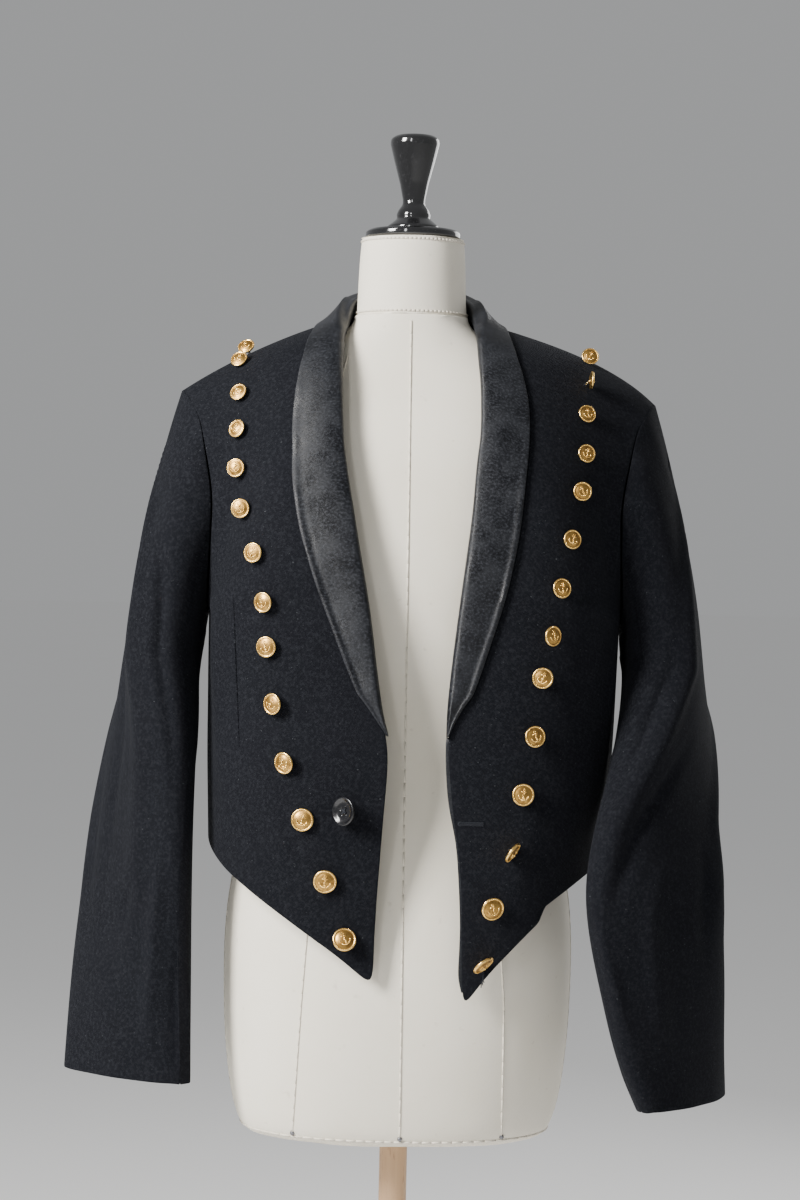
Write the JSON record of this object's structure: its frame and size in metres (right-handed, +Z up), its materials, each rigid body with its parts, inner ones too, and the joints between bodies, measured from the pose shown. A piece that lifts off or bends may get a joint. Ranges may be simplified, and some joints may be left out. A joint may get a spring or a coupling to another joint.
{
  "type": "military-style mess jacket on dress form stand",
  "caption": "Waist-length open-front jacket with satin shawl collar and rows of domed buttons, hung on a limbless dress form with pole and round foot.",
  "frame": {"origin": "centre of the foot's underside, on the floor", "axes": "+X towards the wearer's left (the viewer's right), the jacket's front looks along -Y, +Z up"},
  "size_m": [0.641, 0.39, 1.6225],
  "materials": {
    "wool": "fine dark navy wool twill, matt",
    "satin": "black satin, soft sheen",
    "gold_button": "stamped and gilt, polished",
    "black_button": "moulded, polished",
    "canvas": "cream cotton canvas, matt",
    "black_gloss": "turned, gloss black lacquer",
    "pale_wood": "pale beech, satin varnish"
  },
  "bodies": {
    "root": {"front_right": "wool", "back_right": "wool", "sleeve_top_right": "wool", "sleeve_under_right": "wool", "collar_right": "satin", "front_left": "wool", "back_left": "wool", "sleeve_top_left": "wool", "sleeve_under_left": "wool", "collar_left": "satin", "facing_left": "satin", "button_right_01": "gold_button", "button_right_02": "gold_button", "button_right_03": "gold_button", "button_right_04": "gold_button", "button_right_05": "gold_button", "button_right_06": "gold_button", "button_right_07": "gold_button", "button_right_08": "gold_button", "button_right_09": "gold_button", "button_right_10": "gold_button", "button_right_11": "gold_button", "button_right_12": "gold_button", "button_right_13": "gold_button", "button_right_14": "gold_button", "button_left_01": "gold_button", "button_left_02": "gold_button", "button_left_03": "gold_button", "button_left_04": "gold_button", "button_left_05": "gold_button", "button_left_06": "gold_button", "button_left_07": "gold_button", "button_left_08": "gold_button", "button_left_09": "gold_button", "button_left_10": "gold_button", "button_left_11": "gold_button", "button_left_12": "gold_button", "button_left_13": "gold_button", "button_left_14": "gold_button", "button_black": "black_button", "form_torso": "canvas", "form_neck": "canvas", "neck_cap": "black_gloss", "finial": "black_gloss", "pole": "pale_wood", "base": "pale_wood", "base_socket": "pale_wood"}
  },
  "joints": []
}
